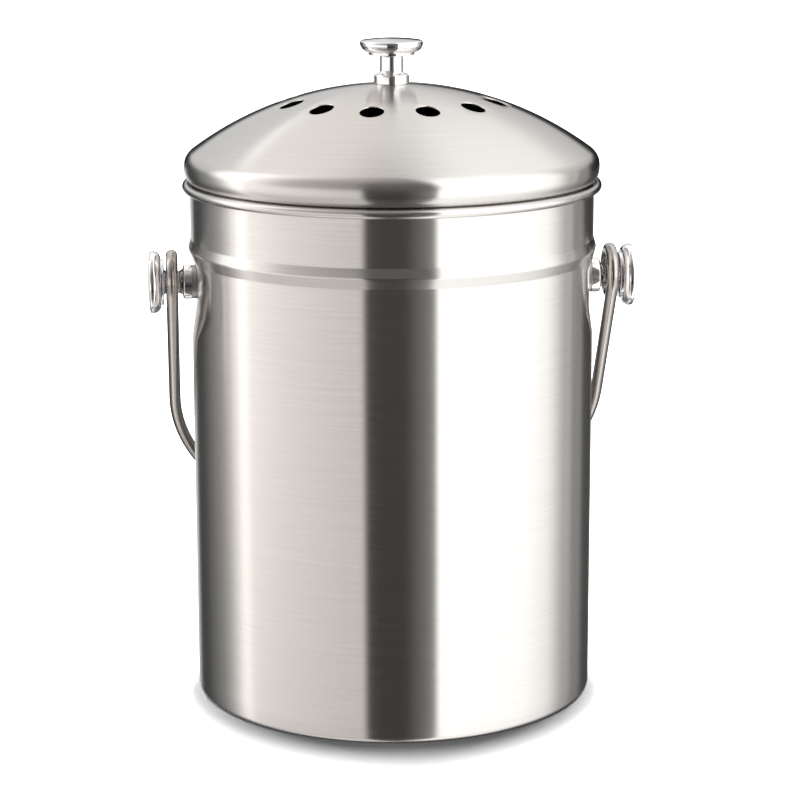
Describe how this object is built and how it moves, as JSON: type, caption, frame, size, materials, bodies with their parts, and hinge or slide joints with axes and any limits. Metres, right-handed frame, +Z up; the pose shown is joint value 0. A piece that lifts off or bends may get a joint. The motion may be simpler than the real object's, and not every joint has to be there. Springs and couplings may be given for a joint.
{
  "type": "compost caddy",
  "caption": "Cylindrical steel food-waste pail with a domed vented lift-off lid, a round lid knob and a wire bail that swings on side knobs.",
  "frame": {"origin": "on the floor, under the pail's vertical axis", "axes": "+Z up, X through both side knobs with the right knob at +X, the bail hangs behind the pail at +Y"},
  "size_m": [0.2008, 0.1733, 0.2707],
  "materials": {
    "brushed_steel": "brushed stainless sheet with fine lines round the pail",
    "inner_steel": "plain satin stainless sheet and washers",
    "chrome": "polished chrome plating",
    "wire": "satin drawn stainless wire",
    "charcoal": "matt black felt with activated carbon"
  },
  "bodies": {
    "pail": {"pail_wall": "brushed_steel", "base_pan": "inner_steel", "left_knob": "chrome", "right_knob": "chrome", "left_washer": "inner_steel", "right_washer": "inner_steel", "left_inner_washer": "inner_steel", "right_inner_washer": "inner_steel", "left_screw": "inner_steel", "right_screw": "inner_steel"},
    "bail": {"bail": "wire"},
    "lid": {"lid_shell": "brushed_steel", "lid_knob": "chrome", "lid_washer": "inner_steel", "lid_screw": "inner_steel", "charcoal_filter": "charcoal", "filter_clip_1": "inner_steel", "filter_clip_2": "inner_steel", "filter_clip_3": "inner_steel", "filter_clip_4": "inner_steel"}
  },
  "joints": [
    {"name": "bail_swing", "type": "hinge", "parent": "pail", "child": "bail", "pos_m": [0, 0, 0.1723], "axis": [1, 0, 0], "range_deg": [0, 292]},
    {"name": "lid_lift", "type": "slide", "parent": "pail", "child": "lid", "axis": [0, 0, 1], "range_m": [0, 0.12]}
  ]
}
